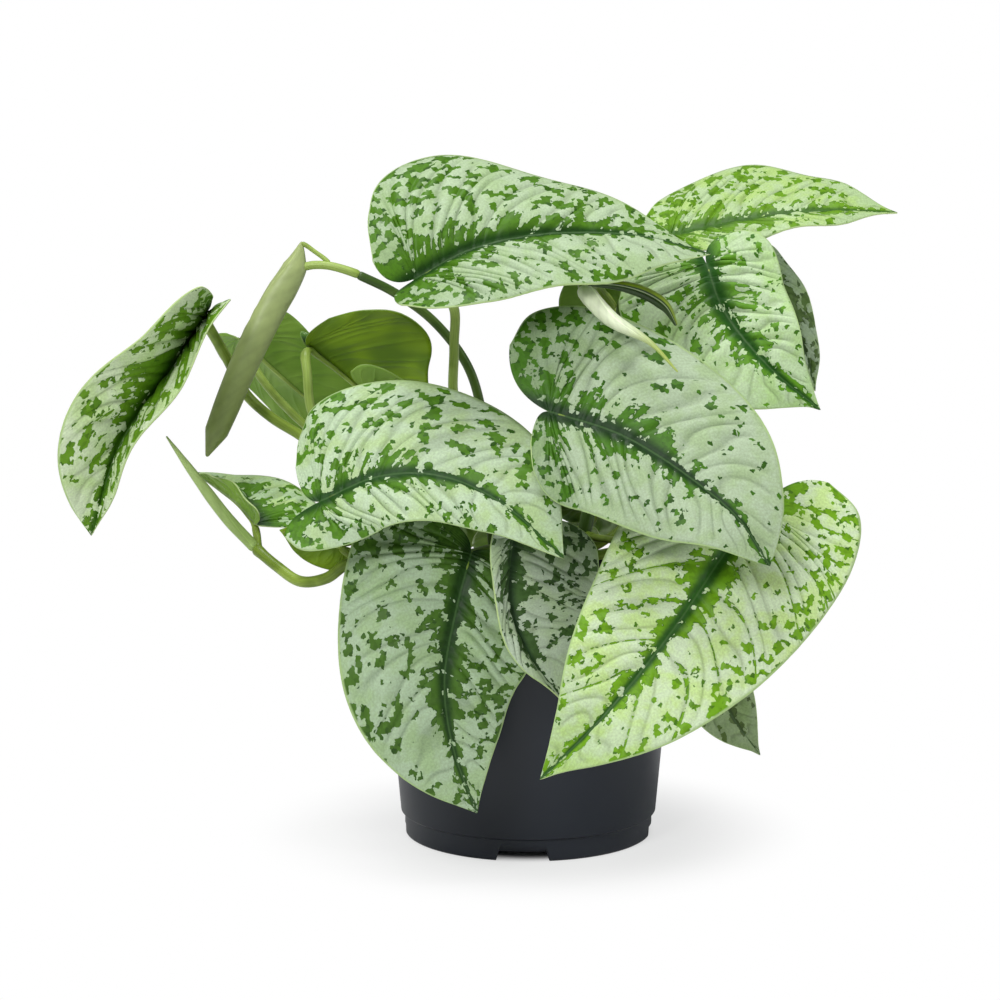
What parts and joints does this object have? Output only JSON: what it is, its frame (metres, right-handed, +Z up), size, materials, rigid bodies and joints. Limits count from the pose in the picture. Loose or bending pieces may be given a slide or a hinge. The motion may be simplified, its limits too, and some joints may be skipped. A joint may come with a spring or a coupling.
{
  "type": "potted scindapsus",
  "caption": "Bushy vine with heart-shaped, silver-blotched leaves on bent stalks, growing from a root ball in a tapered round nursery pot with a collar rim and a flat base.",
  "frame": {"origin": "middle of the pot's underside, on the surface the pot stands on", "axes": "+Z up; -Y towards the plant's front, where most leaves face; +X to the right seen from the front"},
  "size_m": [0.2932, 0.1985, 0.2434],
  "materials": {
    "variegated_leaf": "satin living leaf, silver-green with jagged dark green blotches, plain green below",
    "young_leaf": "smooth pale olive leaf, still rolled up",
    "stem": "smooth satin green stem",
    "potting_mix": "damp, dark brown, crumbly",
    "pot_plastic": "anthracite moulded plastic, satin"
  },
  "bodies": {
    "root": {"pot": "pot_plastic", "potting_mix": "potting_mix", "leaf_top": "variegated_leaf", "leaf_top_right": "variegated_leaf", "leaf_right": "variegated_leaf", "leaf_right_behind": "variegated_leaf", "leaf_centre_right": "variegated_leaf", "leaf_centre_left": "variegated_leaf", "leaf_left_small": "variegated_leaf", "leaf_left_drooping": "variegated_leaf", "leaf_back_left": "variegated_leaf", "leaf_back_middle": "variegated_leaf", "leaf_back_centre": "variegated_leaf", "leaf_front_left": "variegated_leaf", "leaf_front_middle": "variegated_leaf", "leaf_front_right": "variegated_leaf", "leaf_right_low": "variegated_leaf", "leaf_left_low": "variegated_leaf", "leaf_inner": "variegated_leaf", "leaf_side_right": "variegated_leaf", "leaf_rear_right": "variegated_leaf", "leaf_rear_left": "variegated_leaf", "leaf_rear_low": "variegated_leaf", "stem_back": "stem", "stem_left": "stem", "stem_low_left": "stem", "stem_centre": "stem", "stem_right": "stem", "stem_front": "stem", "stem_rear": "stem", "stalk_top": "stem", "stalk_centre_left": "stem", "stalk_left_small": "stem", "stalk_left_low": "stem", "stalk_left_drooping": "stem", "stalk_back_left": "stem", "stalk_back_middle": "stem", "stalk_back_centre": "stem", "stalk_centre_right": "stem", "stalk_top_right": "stem", "stalk_right": "stem", "stalk_right_behind": "stem", "stalk_inner": "stem", "stalk_front_left": "stem", "stalk_front_middle": "stem", "stalk_front_right": "stem", "stalk_right_low": "stem", "stalk_side_right": "stem", "stalk_rear_right": "stem", "stalk_rear_left": "stem", "stalk_rear_low": "stem", "stalk_left_rolled": "young_leaf", "young_leaf_left": "young_leaf", "stalk_young_right": "young_leaf", "young_leaf_right": "young_leaf", "sheath_right": "young_leaf", "sheath_left": "young_leaf", "young_leaf_low": "young_leaf"}
  },
  "joints": []
}
